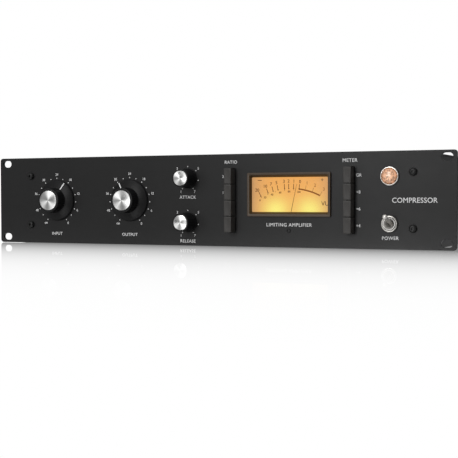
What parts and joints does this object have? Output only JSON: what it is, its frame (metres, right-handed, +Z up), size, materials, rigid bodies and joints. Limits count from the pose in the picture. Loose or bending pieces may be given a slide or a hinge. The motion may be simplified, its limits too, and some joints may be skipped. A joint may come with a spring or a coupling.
{
  "type": "rack compressor",
  "caption": "Two-unit rack compressor with a satin black panel, spun-capped dials, push-button ratio and meter selectors, a lit needle meter, a pilot lamp and a power toggle.",
  "frame": {"origin": "below the middle of the whole unit, on the plane that it stands on", "axes": "+X right when facing the front panel, +Y from the panel to the rear, +Z up"},
  "size_m": [0.4826, 0.2151, 0.0881],
  "materials": {
    "panel_paint": "satin black powder coat",
    "chassis_paint": "fine-textured black coat on folded steel",
    "screw_black": "black oxide, slightly glossy",
    "knob_plastic": "matt black moulding",
    "knob_cap_aluminium": "spun, with concentric turning marks",
    "shaft_steel": "turned",
    "pot_steel": "pressed, plain",
    "button_plastic": "satin black moulding",
    "switch_plastic": "black moulding",
    "bezel_plastic": "semi-gloss black moulding",
    "case_plastic": "black moulding",
    "window_clear": "clear",
    "scale_card": "printed card, lit warm from below",
    "needle_black": "matt black",
    "jewel_amber": "faceted, lit from behind",
    "lamp_chrome": "polished",
    "lamp_holder": "black moulding",
    "toggle_nickel": "polished nickel",
    "toggle_body": "dark phenolic with a steel frame",
    "board_green": "solder mask",
    "transformer_steel": "drawn can",
    "transformer_core": "varnished laminations",
    "capacitor_sleeve": "shrink sleeve",
    "connector_nickel": "satin nickel",
    "latch_steel": "stamped",
    "inlet_plastic": "black moulding"
  },
  "bodies": {
    "root": {"front_panel": "panel_paint", "panel_screw_1": "screw_black", "panel_screw_2": "screw_black", "panel_screw_3": "screw_black", "panel_screw_4": "screw_black", "input_pot": "pot_steel", "output_pot": "pot_steel", "attack_pot": "pot_steel", "release_pot": "pot_steel", "ratio_switch_bank": "switch_plastic", "meter_switch_bank": "switch_plastic", "meter_bezel": "bezel_plastic", "meter_window": "window_clear", "meter_case": "case_plastic", "meter_scale_plate": "scale_card", "meter_movement": "pot_steel", "pilot_lamp_jewel": "jewel_amber", "pilot_lamp_bezel": "lamp_chrome", "pilot_lamp_holder": "lamp_holder", "power_toggle_nut": "toggle_nickel", "power_toggle_body": "toggle_body", "chassis_tray": "chassis_paint", "top_cover": "chassis_paint", "rear_panel": "chassis_paint", "main_board": "board_green", "input_transformer": "transformer_steel", "output_transformer": "transformer_steel", "mains_transformer": "transformer_core", "filter_capacitor": "capacitor_sleeve", "xlr_input": "connector_nickel", "xlr_output": "connector_nickel", "jack_input": "connector_nickel", "jack_output": "connector_nickel", "iec_inlet": "inlet_plastic"},
    "input_dial": {"input_knob": "knob_plastic", "input_knob_cap": "knob_cap_aluminium", "input_pot_shaft": "shaft_steel"},
    "output_dial": {"output_knob": "knob_plastic", "output_knob_cap": "knob_cap_aluminium", "output_pot_shaft": "shaft_steel"},
    "attack_dial": {"attack_knob": "knob_plastic", "attack_knob_cap": "knob_cap_aluminium", "attack_pot_shaft": "shaft_steel"},
    "release_dial": {"release_knob": "knob_plastic", "release_knob_cap": "knob_cap_aluminium", "release_pot_shaft": "shaft_steel"},
    "ratio_20": {"ratio_button_20": "button_plastic"},
    "ratio_12": {"ratio_button_12": "button_plastic"},
    "ratio_8": {"ratio_button_8": "button_plastic"},
    "ratio_4": {"ratio_button_4": "button_plastic"},
    "meter_gr": {"meter_button_gr": "button_plastic"},
    "meter_8": {"meter_button_8": "button_plastic"},
    "meter_6": {"meter_button_6": "button_plastic"},
    "meter_4": {"meter_button_4": "button_plastic"},
    "needle": {"meter_needle": "needle_black"},
    "zero_screw": {"meter_zero_screw": "screw_black"},
    "power_lever": {"power_toggle_lever": "toggle_nickel"},
    "input_latch": {"xlr_input_latch": "latch_steel"},
    "fuse_holder": {"fuse_drawer": "inlet_plastic"}
  },
  "joints": [
    {"name": "input_turn", "type": "hinge", "parent": "root", "child": "input_dial", "pos_m": [-0.1706, -0.08914, 0.04405], "axis": [0, 1, 0], "range_deg": [-182, 118]},
    {"name": "output_turn", "type": "hinge", "parent": "root", "child": "output_dial", "pos_m": [-0.0846, -0.08914, 0.04405], "axis": [0, 1, 0], "range_deg": [-118, 182]},
    {"name": "attack_turn", "type": "hinge", "parent": "root", "child": "attack_dial", "pos_m": [-0.0198, -0.08914, 0.06535], "axis": [0, 1, 0], "range_deg": [-143, 157]},
    {"name": "release_turn", "type": "hinge", "parent": "root", "child": "release_dial", "pos_m": [-0.0198, -0.08914, 0.02275], "axis": [0, 1, 0], "range_deg": [-74, 226]},
    {"name": "ratio_20_press", "type": "slide", "parent": "root", "child": "ratio_20", "axis": [0, 1, 0], "range_m": [0, 0.0035], "stiffness_N_per_m": 150},
    {"name": "ratio_12_press", "type": "slide", "parent": "root", "child": "ratio_12", "axis": [0, 1, 0], "range_m": [0, 0.0035], "stiffness_N_per_m": 150},
    {"name": "ratio_8_press", "type": "slide", "parent": "root", "child": "ratio_8", "axis": [0, 1, 0], "range_m": [0, 0.0035], "stiffness_N_per_m": 150},
    {"name": "ratio_4_press", "type": "slide", "parent": "root", "child": "ratio_4", "axis": [0, 1, 0], "range_m": [0, 0.0035], "stiffness_N_per_m": 150},
    {"name": "meter_gr_press", "type": "slide", "parent": "root", "child": "meter_gr", "axis": [0, 1, 0], "range_m": [0, 0.0035], "stiffness_N_per_m": 150},
    {"name": "meter_8_press", "type": "slide", "parent": "root", "child": "meter_8", "axis": [0, 1, 0], "range_m": [0, 0.0035], "stiffness_N_per_m": 150},
    {"name": "meter_6_press", "type": "slide", "parent": "root", "child": "meter_6", "axis": [0, 1, 0], "range_m": [0, 0.0035], "stiffness_N_per_m": 150},
    {"name": "meter_4_press", "type": "slide", "parent": "root", "child": "meter_4", "axis": [0, 1, 0], "range_m": [0, 0.0035], "stiffness_N_per_m": 150},
    {"name": "needle_swing", "type": "hinge", "parent": "root", "child": "needle", "pos_m": [0.0851, -0.08544, 0.0295], "axis": [0, 1, 0], "range_deg": [-72.4, 45.6], "stiffness_Nm_per_rad": 0.0002},
    {"name": "zero_adjust", "type": "hinge", "parent": "root", "child": "zero_screw", "pos_m": [0.0851, -0.08914, 0.0157], "axis": [0, 1, 0], "range_deg": [-60, 60]},
    {"name": "power_flick", "type": "hinge", "parent": "root", "child": "power_lever", "pos_m": [0.1813, -0.08314, 0.0229], "axis": [1, 0, 0], "range_deg": [0, 32]},
    {"name": "input_latch_press", "type": "slide", "parent": "root", "child": "input_latch", "axis": [0, -1, 0], "range_m": [0, 0.001], "stiffness_N_per_m": 200},
    {"name": "fuse_pull", "type": "slide", "parent": "root", "child": "fuse_holder", "axis": [0, 1, 0], "range_m": [0, 0.018]}
  ]
}
